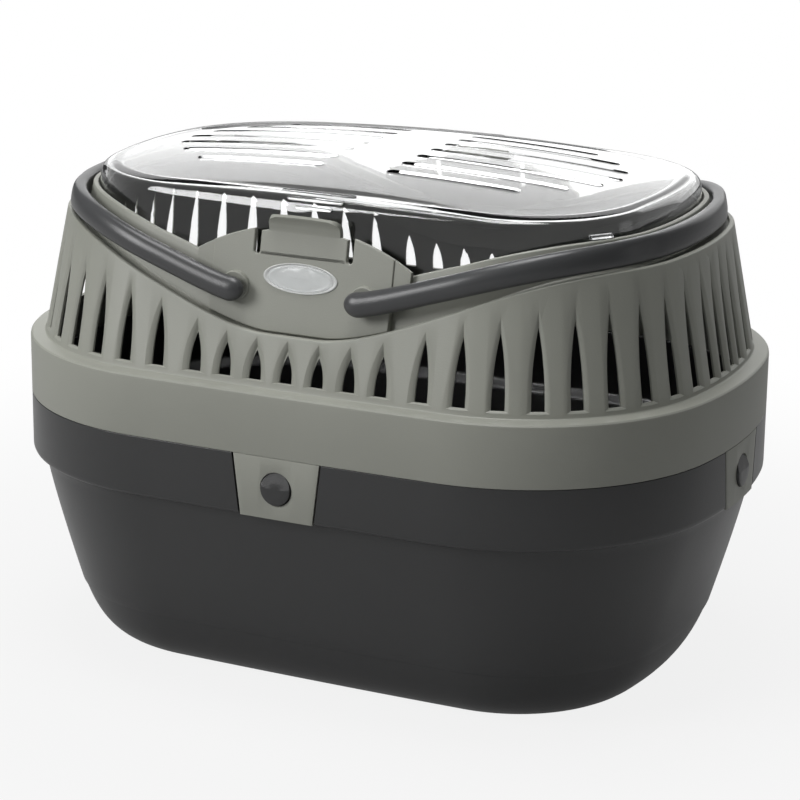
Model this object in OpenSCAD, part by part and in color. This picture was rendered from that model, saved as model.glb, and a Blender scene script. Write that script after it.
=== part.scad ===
// Plastic pet keeper: deep base tub, clip-on vented collar, clear lift-off lid, two carrying handles.
// Millimetres, +Z up, +X along the long side, the front is at -Y. It rests on z = 0.

/* [Overall] */
// Length over the band
body_length = 300; // [290:1:312]
// Width over the band
body_width = 213; // [206:1:222]
// Plan radius of the long sides
side_radius = 2970; // [2200:10:4200]
// Plan radius of the short ends
end_radius = 202; // [192:1:216]
// Plan radius of the four corners
corner_radius = 85; // [80:0.5:90]

/* [Base tub] */
// Wall thickness of the tub
tub_wall = 2.2; // [1.8:0.1:2.8]
// Height of the lower edge of the rim band
band_z = 80.9; // [78:0.1:83]
// Height of the joint between tub and collar
joint_z = 105.4; // [103:0.1:108]
// How far the body stands in under the band
band_out = 4.8; // [3.8:0.1:5.6]
// How far the body has drawn in at the foot line
foot_in = 19; // [16:0.5:22]
// Height of the foot line
foot_z = 24.6; // [20:0.2:28]
// Inset of the flat underside
flat_in = 46; // [40:1:52]
// Roundness of the body between band and foot line
belly = 1.15; // [1.05:0.05:1.5]
// Height of the locating lip above the joint
lip_h = 8; // [5:0.5:11]
// Thickness of the locating lip
lip_t = 2; // [1.6:0.1:2.4]

/* [Catches on the rim] */
// Height of the stud centres
stud_z = 93.2; // [92:0.1:94.5]
// Stud radius
stud_r = 6.3; // [5.4:0.1:6.4]
// How far a stud stands past its lug
stud_out = 1; // [0.6:0.1:1.4]
// Gap between stud and hole
stud_gap = 0.4; // [0.3:0.05:0.6]
// Lug half-width at the top
lug_top = 18.4; // [16:0.2:20]
// Lug half-width at the bottom
lug_low = 15.4; // [12:0.2:16]
// Lug thickness
lug_t = 1.9; // [1.5:0.1:2.1]
// Gap beside each lug
lug_gap = 0.8; // [0.5:0.1:1.2]

/* [Collar] */
// Height of the ledge at the foot of the vented wall
ledge_z = 130.1; // [127:0.1:133]
// Inset of the foot of the vented wall
ledge_in = 6.2; // [5:0.1:8]
// Lean of the vented wall in degrees
lean = 11.1; // [9:0.1:12.5]
// Thickness of the vented wall
wall_t = 1.6; // [1.3:0.1:2]
// Lowest height of the wall edge, front and rear
edge_z = 150.8; // [149.5:0.1:152.5]
// Rise of the wall edge towards the ends
edge_rise = 31.5; // [29:0.5:32]
// Width of the handle channel
channel_w = 8.5; // [8:0.1:9]
// Lowest height of the upstand
upstand_z = 165; // [163:0.5:168]
// Rise of the upstand towards the ends
upstand_rise = 27; // [24:0.5:29]
// Thickness of the upstand
upstand_t = 2; // [1.6:0.1:2.2]

/* [Vent slots] */
// Height of the slot feet
slot_z = 133.3; // [132:0.1:135]
// Half-width of an opening
slot_half = 2.55; // [1.8:0.05:3]
// Half-width of the fluted surround
flute_half = 4.9; // [4:0.1:5.2]
// Depth of the fluted surround
flute_d = 1.2; // [0.6:0.1:1.4]
// Top of the short openings at the middle
short_top = 144; // [141:0.5:145]
// Top of the first long opening
long_top = 156.4; // [152:0.4:158]
// Pitch of the short slots
short_pitch = 13.2; // [12:0.1:14]
// Pitch of the long slots
long_pitch = 15.15; // [14.4:0.05:15.4]
// Pitch of the slots on each end
end_pitch = 10.8; // [10.6:0.1:12]

/* [Plates and tongues] */
// Half-width of each plate
plate_half = 38.3; // [36:0.1:40]
// Plate thickness
plate_t = 2.6; // [2.2:0.1:2.8]
// Top of the plate arc
arc_top = 190.8; // [189:0.1:192.5]
// Radius of the plate arc
arc_r = 90; // [82:1:100]
// Half-width of each tongue
tongue_half = 18.4; // [16.4:0.1:19.4]
// Width of the relief slots beside a tongue
relief_w = 2.6; // [1.6:0.1:3.2]
// Height of the root of the tongue
root_z = 178.8; // [178:0.1:181]
// Half-width of the curled lip
curl_half = 15.1; // [13:0.1:15.2]
// Radius of the handle bosses
boss_r = 5.9; // [5:0.1:6.2]
// Half-length of the badge
badge_half = 15.7; // [12:0.1:17]
// Half-height of the badge
badge_rise = 5.8; // [4:0.1:6]
// Badge thickness
badge_t = 0.9; // [0.6:0.1:1.2]

/* [Handles] */
// Distance of the pivots from the middle
pivot_x = 27.5; // [26.6:0.1:28.4]
// Height of the pivots
pivot_z = 165.7; // [165:0.1:167]
// Peg radius
peg_r = 2.4; // [2:0.05:2.8]
// Running clearance of a peg in its bore
peg_gap = 0.05; // [0.03:0.01:0.1]
// Width of the handle bar
bar_w = 7; // [6:0.1:7.2]
// Height of the handle bar
bar_h = 9.8; // [8.6:0.1:9.9]
// Rise of the bar towards the end
bar_rise = 22; // [21.9:0.1:22.8]
// Width of the bow at the end of the carrier
bow_w = 5.4; // [5:0.1:6]
// How far the bow draws in over the channel
bow_in = 2.7; // [2:0.1:2.8]

/* [Lid] */
// Lid wall thickness
lid_wall = 1.6; // [1.3:0.1:2]
// Height of the crown
crown_z = 208; // [206:0.5:210]
// Height where the lid wall turns into the shoulder
shoulder_z = 196.4; // [195.4:0.1:197.4]
// Inset of the brow where the dome begins
brow_in = 37; // [35.5:0.1:38]
// Fall of the dome towards the long sides
side_fall = 4.8; // [4:0.1:5.4]
// Fall of the dome towards the ends
end_fall = 6.4; // [5.6:0.1:7]
// Gap between the lid and the upstand
lid_gap = 0.4; // [0.3:0.05:0.6]
// Depth of the lid's skirt below the upstand edge
lid_dip = 3.4; // [3:0.1:4]
// Pitch of the lid slots
lid_pitch = 13.5; // [12.5:0.1:14]
// Half-width of a lid slot
lid_slot = 2.2; // [1.6:0.1:2.6]
// Inner end of the lid slots
lid_inner = 14; // [11:0.5:18]
// Distance from the end of the carrier to the longest lid slots
lid_margin = 54; // [50:0.5:58]
// Half-width of the longest grip rib
rib_half = 15.7; // [12:0.1:18]
// Radius of the grip ribs
rib_r = 0.9; // [0.7:0.05:1.1]
// Direction of the small tab at the lid's lower edge, in degrees
tab_q = 36; // [32:1:40]
// Length of the tab
tab_l = 10; // [8:0.5:12]
// How far the tab stands out over the rim
tab_out = 1.4; // [1:0.1:1.8]
// Height of the tab
tab_h = 1.5; // [1.2:0.1:1.8]

/* [Hidden] */
ha = body_length / 2;
hb = body_width / 2;
tl = tan(lean);
cl = cos(lean);
// Steps along the end, corner and side of one quarter
end_n = 2;
corner_n = 7;
side_n = 4;

// Plan outline: three arcs a quarter, drawn in by an inset
d0 = [ha - end_radius, side_radius - hb];
dl = norm(d0);
du = d0 / dl;
r0 = side_radius - corner_radius;
r1 = end_radius - corner_radius;
dm = (r0 * r0 - r1 * r1 + dl * dl) / (2 * dl);
dh = sqrt(r0 * r0 - dm * dm);
cc = [0, hb - side_radius] + du * dm + [-du[1], du[0]] * dh;
dc = cc[0] > 0 ? cc : [0, hb - side_radius] + du * dm - [-du[1], du[0]] * dh;
fe = atan2(dc[1], dc[0] - d0[0]);
ff = atan2(dc[1] + side_radius - hb, dc[0]);

function quarter(q, i) = q < fe ? [d0[0], 0] + (end_radius - i) * [cos(q), sin(q)]
    : q < ff ? dc + (corner_radius - i) * [cos(q), sin(q)]
    : [0, hb - side_radius] + (side_radius - i) * [cos(q), sin(q)];
function plan(q, i) = q <= 90 ? quarter(q, i)
    : q <= 180 ? [-quarter(180 - q, i)[0], quarter(180 - q, i)[1]]
    : q <= 270 ? -quarter(q - 180, i)
    : [quarter(360 - q, i)[0], -quarter(360 - q, i)[1]];
side_x = side_radius * cos(ff);
quart = concat([for (k = [0:end_n - 1]) fe * k / end_n],
    [for (k = [0:corner_n - 1]) fe + (ff - fe) * k / corner_n],
    [for (k = [0:side_n - 1]) acos(side_x * (1 - k / side_n) / side_radius)]);
qn = len(quart);
turn = concat(quart, [90], [for (k = [1:qn - 1]) 180 - quart[qn - k]],
    [for (k = [0:qn - 1]) 180 + quart[k]], [270], [for (k = [1:qn - 1]) 360 - quart[qn - k]]);
function across(q) = abs(plan(q, 12)[0]);
function ring(i, z) = [for (q = turn) [plan(q, i)[0], plan(q, i)[1], z]];

// Collar levels that climb towards the ends
function climb(x) = min(max((abs(x) - 12) / (ha - 32), 0), 1);
function wall_in(z) = ledge_in + tl * (z - ledge_z);
function edge(x) = edge_z + edge_rise * pow(sin(90 * climb(x)), 1.6);
function rise(x) = upstand_z + upstand_rise * sin(90 * climb(x));
arc_z = arc_top - arc_r;
function arc(x) = arc_z + sqrt(arc_r * arc_r - x * x);
wing_x = plate_half + 7.1;
lid_in = channel_w + upstand_t + lid_gap;
function lid_out(x) = max(wall_in(rise(x)) + lid_in,
    abs(x) < wing_x ? wall_in(arc(x)) + channel_w + lid_gap : 0);

// Skin over a stack of rings, closed on itself or capped flat at both ends
module skin(rings, loop) {
    n = len(rings[0]);
    m = len(rings);
    points = [for (r = rings) each r];
    tri = [for (j = [0:loop ? m - 1 : m - 2]) for (i = [0:n - 1]) let (
        a = j * n + i,
        b = j * n + (i + 1) % n,
        c = ((j + 1) % m) * n + (i + 1) % n,
        d = ((j + 1) % m) * n + i) each [[a, d, c], [a, c, b]]];
    caps = loop ? [] : [[for (i = [0:n - 1]) i], [for (i = [0:n - 1]) m * n - 1 - i]];
    polyhedron(points = points, faces = concat(tri, caps), convexity = 6);
}

// A wedge-sided outline for the lugs and their recesses
module lug_shape(grow, low) {
    polygon([[-lug_top - grow, joint_z], [lug_top + grow, joint_z],
        [lug_low + grow, low], [-lug_low - grow, low]]);
}

// The slice of the rim that a lug fills: flat on the long sides, curved on the ends
module side_slice(grow, low, depth, over) {
    translate([0, -hb + depth, 0]) rotate([90, 0, 0])
        linear_extrude(depth + over) lug_shape(grow, low);
}
module end_slice(grow, low, depth, over) {
    intersection() {
        translate([ha - 12, 0, 0]) rotate([90, 0, 90]) linear_extrude(12 + over) lug_shape(grow, low);
        translate([d0[0], 0, low - 1]) difference() {
            cylinder(r = end_radius + over, h = joint_z - low + 2, $fn = 180);
            translate([0, 0, -1]) cylinder(r = end_radius - depth, h = joint_z - low + 4, $fn = 180);
        }
    }
}

// One stud pointing to +X from the origin, its upper half cut back to a ramp
module stud(back) {
    difference() {
        translate([-back, 0, 0]) rotate([0, 90, 0]) cylinder(r = stud_r, h = back + stud_out, $fn = 64);
        translate([stud_out, 0, 0.6]) rotate([0, -18, 0]) translate([0, -10, 0]) cube([8, 20, 14]);
    }
}

// Base tub: body, foot line, rim band, lip, four recesses and four studs
function body_in(z) = band_out + (foot_in - band_out) * pow(1 - (z - foot_z) / (band_z - 1 - foot_z), belly);
function round_at(t, g) = let (a = 1 - t, low = [foot_in + 0.6 + g, foot_z - 0.4])
    a * a * a * low + 3 * a * a * t * (low + [4.5, -0.53 * foot_z]) + 3 * a * t * t * [flat_in - 16 + g, g]
    + t * t * t * [flat_in, g];
module base_tub() {
    low = [for (t = [1, 0.82, 0.63, 0.45, 0.28, 0.13, 0]) round_at(t, 0)];
    outer = [for (z = [foot_z, 43, 61, band_z - 1]) [body_in(z), z]];
    rim = [[band_out - 0.3, band_z - 0.1], [1.6, band_z], [0.5, band_z + 0.6], [0, band_z + 2],
        [0, joint_z], [2.3, joint_z], [2.3, joint_z + lip_h], [2.3 + lip_t, joint_z + lip_h],
        [2.3 + lip_t, band_z + 4.6]];
    inner = [for (z = [band_z + 1, 61, 43, foot_z]) [body_in(min(z, band_z - 1)) + tub_wall, z]];
    under = [for (t = [0, 0.2, 0.4, 0.6, 0.8, 1]) round_at(t, tub_wall)];
    color([0.16, 0.17, 0.17]) difference() {
        skin([for (s = concat(low, outer, rim, inner, under)) ring(s[0], s[1])], false);
        for (m = [0, 1]) {
            mirror([0, m, 0]) side_slice(lug_gap, band_z - 1, lug_t + 0.3, 3);
            mirror([m, 0, 0]) end_slice(lug_gap, band_z - 1, lug_t + 0.3, 3);
        }
    }
    color([0.16, 0.17, 0.17]) for (m = [0, 1]) {
        mirror([0, m, 0]) translate([0, -hb, stud_z]) rotate([0, 0, -90]) stud(3.4);
        mirror([m, 0, 0]) translate([ha, 0, stud_z]) stud(3.4);
    }
}

// Lugs: flexing tabs below the collar, each with a hole for a stud
module side_lug() {
    color([0.6, 0.6, 0.56]) difference() {
        side_slice(0, band_z + 0.1, lug_t, 0);
        translate([0, -hb + 4, stud_z]) rotate([90, 0, 0]) cylinder(r = stud_r + stud_gap, h = 6, $fn = 64);
    }
}
module end_lug() {
    color([0.6, 0.6, 0.56]) difference() {
        end_slice(0, band_z + 0.1, lug_t, 0);
        translate([ha - 4, 0, stud_z]) rotate([0, 90, 0]) cylinder(r = stud_r + stud_gap, h = 6, $fn = 64);
    }
}
module front_lug() side_lug();
module rear_lug() mirror([0, 1, 0]) side_lug();
module right_lug() end_lug();
module left_lug() mirror([1, 0, 0]) end_lug();

// Collar section at one station, from the skirt up over the channel to the lid seat and back down
function collar_at(q) = let (x = across(q), e = edge(x), u = rise(x), w = channel_w, v = upstand_t,
    seat = lid_out(x) - lid_gap, shelf = u - lid_dip - 0.6) [
    [0, joint_z], [0.3, ledge_z - 1], [1.1, ledge_z], [ledge_in, ledge_z + 0.2],
    [wall_in(e - 0.6), e - 0.6], [wall_in(e) + 0.6, e], [wall_in(e) + 1.5, e], [wall_in(e) + 1.9, e - 1.5],
    [wall_in(e - 1.5) + w, e - 1.5], [wall_in(u - 0.6) + w, u - 0.6], [wall_in(u) + w + 0.6, u],
    [wall_in(u) + w + v, u], [wall_in(u) + w + v, shelf], [seat + 2.2, shelf],
    [seat + 2.2, shelf - 1.5], [wall_in(shelf - 3.7) + w + v, shelf - 3.7],
    [wall_in(e - 3.1) + w + v, e - 3.1], [wall_in(e - 3.1) + wall_t, e - 3.1],
    [ledge_in + wall_t, ledge_z - 1.5], [2.1, ledge_z - 1.8], [1.9, joint_z]];

// Vent slots: a lancet opening through the wall inside a fluted surround
foot_side = (side_radius - ledge_in) * (90 - ff) * PI / 180;
foot_corner = (corner_radius - ledge_in) * (ff - fe) * PI / 180;
foot_end = (end_radius - ledge_in) * fe * PI / 180;
function along(s) = s < foot_side ? 90 - s / (side_radius - ledge_in) * 180 / PI
    : s < foot_side + foot_corner ? ff - (s - foot_side) / (corner_radius - ledge_in) * 180 / PI
    : fe - (s - foot_side - foot_corner) / (end_radius - ledge_in) * 180 / PI;
module lancet(half, low, top, x) {
    h = top - low;
    rotate([90, 0, 90]) translate([0, 0, x]) linear_extrude(0.02)
        polygon(concat([for (t = [0, 0.5, 0.8, 1]) [half * (1 - pow(t, 2.1)), low + h * t]],
            [for (t = [0.8, 0.5, 0]) [-half * (1 - pow(t, 2.1)), low + h * t]]));
}
module vent(s, top) {
    q = along(s);
    p = quarter(q, ledge_in);
    tip = min(top + 6.5, edge(p[0] - 6) - 1.4);
    low = (slot_z - ledge_z) / cl;
    translate([p[0], p[1], ledge_z]) rotate([0, 0, q]) rotate([0, -lean, 0]) {
        hull() {
            lancet(slot_half, low, (top - ledge_z) / cl, 1);
            lancet(slot_half, low, (top - ledge_z) / cl, -4);
        }
        hull() {
            lancet(flute_half, low - 0.7, (tip - ledge_z) / cl, 0.25);
            lancet(slot_half, low, (top - ledge_z) / cl, -flute_d);
        }
    }
}
module vents(first) {
    for (k = [first:3])
        vent(k * short_pitch, short_top + 4.4 * pow(k / 3, 2));
    for (k = [0:8]) let (s = foot_side - 8.6 + long_pitch * k)
        vent(s, long_top + 0.17 * (quarter(along(s), ledge_in)[0] - 56));
    for (k = [0, 1])
        vent(foot_side + foot_corner + foot_end - end_pitch * (k + 0.5), long_top + 14.9);
}
module collar() {
    sections = [for (q = turn) collar_at(q)];
    color([0.6, 0.6, 0.56]) difference() {
        skin([for (j = [0:20]) [for (i = [0:len(turn) - 1]) let (p = sections[i][j])
            concat(plan(turn[i], p[0]), p[1])]], true);
        vents(0);
        mirror([1, 0, 0]) vents(1);
        mirror([0, 1, 0]) vents(0);
        mirror([1, 0, 0]) mirror([0, 1, 0]) vents(1);
    }
}

// Plates: leaning slabs that carry the handle bosses; heights are measured up the slab from the pivot
plate_y = -(hb - wall_in(pivot_z) - channel_w + plate_t);
function up_slab(z) = (z - pivot_z) / cl;
module on_plate() {
    translate([0, plate_y, pivot_z]) rotate([-lean, 0, 0]) children();
}
module slab(back, front) {
    translate([0, back, 0]) rotate([90, 0, 0]) linear_extrude(back - front) children();
}
module side_plate() {
    deep = plate_t * cl - 0.05;
    win = tongue_half + relief_w;
    shoulder = [for (k = [0:5]) plate_half + (win - plate_half) * k / 5];
    color([0.6, 0.6, 0.56]) difference() {
        union() {
            on_plate() slab(deep, 0) polygon(concat(
                [for (k = [-6:6]) [plate_half * k / 6, up_slab(edge(plate_half * k / 6) - 0.5)]],
                [for (x = shoulder) [x, up_slab(arc(x))]],
                [[win, up_slab(root_z)], [-win, up_slab(root_z)]],
                [for (k = [5:-1:0]) [-shoulder[k], up_slab(arc(shoulder[k]))]]));
            on_plate() for (m = [0, 1]) mirror([m, 0, 0]) slab(deep, deep - 1.3)
                polygon([[plate_half - 1, up_slab(166)], [plate_half + 2, up_slab(166)],
                    [wing_x, up_slab(arc(wing_x) - 1)], [wing_x, up_slab(arc(wing_x))],
                    [42, up_slab(arc(42))], [plate_half - 1, up_slab(arc(plate_half - 1) - 0.1)]]);
            for (x = [-pivot_x, pivot_x]) translate([x, plate_y + 1.4, pivot_z]) rotate([90, 0, 0])
                cylinder(r = boss_r, h = 2.4, $fn = 64);
        }
        for (x = [-pivot_x, pivot_x]) translate([x, plate_y + 8, pivot_z]) rotate([90, 0, 0])
            cylinder(r = peg_r + peg_gap, h = 16, $fn = 48);
    }
}
module front_plate() side_plate();
module rear_plate() mirror([0, 1, 0]) side_plate();

// Tongues: sprung tabs with a lip curled outward for the thumb
module side_tongue() {
    deep = plate_t * cl - 0.05;
    color([0.6, 0.6, 0.56]) on_plate() {
        slab(deep, 0) polygon(concat([[-tongue_half, up_slab(root_z)], [tongue_half, up_slab(root_z)]],
            [for (k = [4:-1:-4]) let (x = tongue_half * k / 4) [x, up_slab(arc(x) - 2.4)]]));
        translate([-curl_half, 0, 0]) rotate([90, 0, 90]) linear_extrude(2 * curl_half)
            polygon([[0, up_slab(root_z + 5)], [0, up_slab(arc_top - 4.6)], [-0.9, up_slab(arc_top - 1.6)],
                [-2.6, up_slab(arc_top + 0.9)], [-4.6, up_slab(arc_top + 2.3)],
                [-4.3, up_slab(arc_top + 3.5)], [-2.2, up_slab(arc_top + 3.7)],
                [0.2, up_slab(arc_top + 2)], [1.6, up_slab(arc_top - 0.6)],
                [deep, up_slab(arc_top - 4.2)], [deep, up_slab(root_z + 5)]]);
    }
}
module front_tongue() side_tongue();
module rear_tongue() mirror([0, 1, 0]) side_tongue();

// Badges: blank clear ovals on the plates
module side_badge() {
    middle = up_slab(pivot_z + 5.5);
    color([0.85, 0.88, 0.9, 0.6]) on_plate() slab(0, -badge_t)
        polygon([for (k = [0:39]) [badge_half * cos(9 * k), middle + badge_rise * sin(9 * k)]]);
}
module front_badge() side_badge();
module rear_badge() mirror([0, 1, 0]) side_badge();

// Handles: an oval bar that follows the channel round one end, with a peg in each arm
function bar_t(x) = min(max((x - pivot_x) / (ha - 20 - pivot_x), 0), 1);
function bar_z(x) = pivot_z + bar_rise * pow(sin(90 * bar_t(x)), 1.2);
function bar_in(x) = wall_in(bar_z(x)) + 0.9 + 1.2 * bar_t(x) + bow_in * pow(bar_t(x), 8);
arm_d = [5.9, 5.1, 3, 0];
arm = concat([for (d = arm_d) [acos((pivot_x - d) / (side_radius - 14)), sqrt(1 - pow(d / 6, 2))]],
    [for (k = [1:4]) [acos((pivot_x + (side_x - pivot_x) * k / 5) / (side_radius - 14)), 1]],
    [for (k = [0:corner_n - 1]) [ff + (fe - ff) * k / corner_n, 1]], [[fe, 1], [fe / 2, 1]]);
function boxy(v, x) = sign(v) * pow(abs(v), 1 - 0.35 * pow(bar_t(x), 5));
function bar_ring(q, f, m) = let (x = plan(q, 13)[0], p = plan(q, bar_in(x)), z = bar_z(x)) [
    for (k = [0:11]) let (
    g = 0.5 * (bar_w + (bow_w - bar_w) * pow(bar_t(x), 8)) * f * boxy(cos(30 * k), x),
    h = 0.5 * bar_h * f * boxy(sin(30 * k), x),
    o = g * cl - h * sin(lean))
    [p[0] + o * cos(q), m * (p[1] + o * sin(q)), z + g * sin(lean) + h * cl]];
module handle_right() {
    rear = [for (a = arm) bar_ring(a[0], a[1], 1)];
    mid = [bar_ring(0, 1, 1)];
    an = len(arm);
    front = [for (k = [1:an]) bar_ring(arm[an - k][0], arm[an - k][1], -1)];
    arm_y = hb - wall_in(pivot_z) - 0.9;
    peg_y = -plate_y - plate_t + 0.5;
    color([0.3, 0.31, 0.32]) union() {
        skin(concat(rear, mid, front), false);
        for (m = [0, 1]) mirror([0, m, 0]) translate([pivot_x, -peg_y, pivot_z]) rotate([90, 0, 0])
            cylinder(r = peg_r, h = arm_y - peg_y, $fn = 48);
    }
}
module handle_left() mirror([1, 0, 0]) handle_right();

// Lid: clear domed cover with a skirt inside the upstand, vent slots and grip ribs
function dome(p, d) = crown_z - d - end_fall * pow(p[0] / (ha - brow_in), 2)
    - side_fall * pow(p[1] / (hb - brow_in), 2);
function dome_ring(i, f, d) = [for (q = turn) let (p = plan(q, i) * f) [p[0], p[1], dome(p, d)]];
module grip(inset, z, half) {
    translate([-half, inset - hb, z]) rotate([0, 90, 0]) cylinder(r = rib_r, h = 2 * half, $fn = 10);
}
module tab() {
    z = rise(across(tab_q)) + lid_gap;
    p = plan(360 - tab_q, wall_in(z) + lid_in);
    translate([p[0], p[1], z]) rotate([0, 0, -tab_q]) translate([-lid_wall / 2 - 0.2, -tab_l / 2, 0])
        cube([lid_wall / 2 + 0.2 + tab_out, tab_l, tab_h]);
}
module lid() {
    top = shoulder_z;
    slope = wall_in(top) + lid_in;
    brow = wall_in(top + 2.4) + lid_in + 0.8;
    near = brow_in + 9;
    far = brow_in + 23;
    bend = [for (q = turn) ledge_z + (lid_out(across(q)) - lid_in - ledge_in) / tl];
    function foot(d, up) = [for (i = [0:len(turn) - 1]) let (x = across(turn[i]))
        concat(plan(turn[i], lid_out(x) + d), up ? bend[i] : rise(x) - lid_dip)];
    function middle(d) = [for (q = turn) [plan(q, far)[0] * 0.3, plan(q, far)[1] * 0.3, crown_z - 0.2 - d]];
    color([0.86, 0.89, 0.91, 0.45]) difference() {
        union() {
            skin([middle(lid_wall), dome_ring(far, 0.65, lid_wall), dome_ring(far, 1, lid_wall + 0.1),
                dome_ring(near, 1, lid_wall + 0.6), dome_ring(brow_in + 1.5, 1, lid_wall + 1.5),
                ring(slope + lid_wall + 0.4, top - 1.2), foot(lid_wall, true), foot(lid_wall, false),
                foot(0, false), foot(0, true), ring(slope, top), ring(brow, top + 2.4),
                dome_ring(brow_in, 1, 1.3), dome_ring(near, 1, 0.5), dome_ring(far, 1, 0.1),
                dome_ring(far, 0.65, 0), middle(0)], false);
            for (m = [0, 1]) mirror([0, m, 0]) {
                grip(brow_in - 1.3, dome([0, hb - brow_in], 1.9), rib_half);
                grip(brow + 1.1, top + 2.6, rib_half * 0.77);
                grip(slope + 1, top - 0.1, rib_half * 0.5);
            }
            tab();
            rotate([0, 0, 180]) tab();
        }
        for (m = [0, 1]) mirror([m, 0, 0]) for (k = [-3:3]) hull()
            for (x = [lid_inner + lid_slot, ha - lid_margin - 2.9 * k * k - lid_slot])
                translate([x, k * lid_pitch, crown_z - 18]) cylinder(r = lid_slot, h = 30, $fn = 8);
    }
}

base_tub();
collar();
front_plate();
rear_plate();
front_tongue();
rear_tongue();
front_badge();
rear_badge();
lid();
handle_left();
handle_right();
front_lug();
rear_lug();
left_lug();
right_lug();
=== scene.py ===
from math import sin, cos, tan, atan2, hypot, sqrt, pi, radians, degrees
import bmesh
import bpy
import numpy as np
from mathutils import Matrix, Vector


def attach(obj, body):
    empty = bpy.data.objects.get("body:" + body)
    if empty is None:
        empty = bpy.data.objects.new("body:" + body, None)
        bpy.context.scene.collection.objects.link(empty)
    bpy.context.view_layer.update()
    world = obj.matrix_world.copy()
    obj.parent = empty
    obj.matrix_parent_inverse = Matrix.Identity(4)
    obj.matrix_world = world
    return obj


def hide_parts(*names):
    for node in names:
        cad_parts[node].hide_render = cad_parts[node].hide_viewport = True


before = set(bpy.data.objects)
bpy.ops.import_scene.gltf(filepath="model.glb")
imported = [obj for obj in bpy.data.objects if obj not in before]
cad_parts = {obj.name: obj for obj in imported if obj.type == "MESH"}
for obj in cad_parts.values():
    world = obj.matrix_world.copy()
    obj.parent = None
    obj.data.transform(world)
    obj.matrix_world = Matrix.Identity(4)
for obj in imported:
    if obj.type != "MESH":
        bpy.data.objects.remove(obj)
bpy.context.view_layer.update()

# Base tub
# The tub is one deep moulding in charcoal polypropylene. Its oval plan is three arcs a quarter, and every
# level is that same oval drawn in by an inset. A rim band stands out round the top, with a recess and a
# stud on each side for the collar's lugs.
MM = 0.001
HALF_LENGTH = 150.0
HALF_WIDTH = 106.5
SIDE_RADIUS = 2970.0
END_RADIUS = 202.0
CORNER_RADIUS = 85.0
TUB_WALL = 2.2
BAND_Z = 80.9
BAND_FOOT = BAND_Z - 1
BAND_OUT = 4.8
JOINT_Z = 105.4
FOOT_IN = 19.0
FOOT_Z = 24.6
FOOT_PULL = (4.5, -0.53 * FOOT_Z)
FLAT_IN = 46.0
FLAT_PULL = 16.0
BELLY = 1.15
THICKER_FROM = 70.0
LIP_IN = 2.3
LIP_TOP = 8.0
LIP_THICK = 2.0
STUD_Z = 93.2
STUD_RADIUS = 6.3
STUD_OUT = 1.0
STUD_ROOT = 3.4
RAMP_FROM = 0.5
RAMP_STEP = 0.12
RAMP_SLOPE = 0.3
LUG_TOP = 18.4
LUG_LOW = 15.4
LUG_THICK = 1.9
LUG_GAP = 0.8
SIDES = (0, 90, 180, 270)
TUB_GREY = (0.036, 0.0365, 0.037)


def corner_centre():
    """Centre of the corner arc, which touches the end arc and the side arc from inside."""
    end = np.array([HALF_LENGTH - END_RADIUS, 0.0])
    side = np.array([0.0, HALF_WIDTH - SIDE_RADIUS])
    reach_side = SIDE_RADIUS - CORNER_RADIUS
    reach_end = END_RADIUS - CORNER_RADIUS
    gap = end - side
    length = hypot(*gap)
    along = gap / length
    part = (reach_side ** 2 - reach_end ** 2 + length ** 2) / (2 * length)
    off = np.array([-along[1], along[0]]) * sqrt(reach_side ** 2 - part ** 2)
    middle = side + along * part
    return middle + off if (middle + off)[0] > 0 else middle - off


CORNER = corner_centre()
END_TURN = degrees(atan2(CORNER[1], CORNER[0] - HALF_LENGTH + END_RADIUS))
SIDE_TURN = degrees(atan2(CORNER[1] + SIDE_RADIUS - HALF_WIDTH, CORNER[0]))


def plan(turns, inset=0.0):
    """Points of the oval at these normal angles in degrees, drawn in by the inset in millimetres."""
    turns, inset = np.broadcast_arrays(np.asarray(turns, float), np.asarray(inset, float))
    q = np.mod(turns, 360.0)
    fold = np.select([q <= 90, q <= 180, q <= 270], [q, 180 - q, q - 180], 360 - q)
    arcs = [fold < END_TURN, fold < SIDE_TURN]
    cx = np.select(arcs, [HALF_LENGTH - END_RADIUS, CORNER[0]], 0.0)
    cy = np.select(arcs, [0.0, CORNER[1]], HALF_WIDTH - SIDE_RADIUS)
    radius = np.select(arcs, [END_RADIUS, CORNER_RADIUS], SIDE_RADIUS) - inset
    x = cx + radius * np.cos(np.radians(fold))
    y = cy + radius * np.sin(np.radians(fold))
    return np.stack([np.where((q > 90) & (q < 270), -x, x), np.where(q > 180, -y, y)], -1)


def stations(on_end, on_corner, on_side):
    """Normal angles round the whole oval, with this many steps on each arc of a quarter."""
    side_x = SIDE_RADIUS * cos(radians(SIDE_TURN))
    along_side = side_x * (1 - np.arange(on_side) / on_side)
    quarter = np.concatenate([np.linspace(0, END_TURN, on_end, endpoint=False),
                              np.linspace(END_TURN, SIDE_TURN, on_corner, endpoint=False),
                              np.degrees(np.arccos(along_side / SIDE_RADIUS))])
    half = np.concatenate([quarter, [90.0], 180 - quarter[:0:-1]])
    return np.concatenate([half, 180 + half])


def rounded(points, steps=4):
    """A section through (inset, height, radius) points, each inner corner rounded in this many steps."""
    out = [points[0][:2]]
    for before, here, after in zip(points, points[1:], points[2:]):
        p = np.array(here[:2])
        back = np.array(before[:2]) - p
        on = np.array(after[:2]) - p
        reach_back = min(here[2], 0.48 * hypot(*back)) / max(hypot(*back), 1e-9)
        reach_on = min(here[2], 0.48 * hypot(*on)) / max(hypot(*on), 1e-9)
        a = p + back * reach_back
        b = p + on * reach_on
        for t in np.linspace(0, 1, steps):
            out.append(tuple((1 - t) ** 2 * a + 2 * t * (1 - t) * p + t * t * b))
    return out + [points[-1][:2]]


def cubic(t, a, b, c, d):
    """A point of the cubic curve with these four control points."""
    return (1 - t) ** 3 * a + 3 * (1 - t) ** 2 * t * b + 3 * (1 - t) * t * t * c + t ** 3 * d


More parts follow.
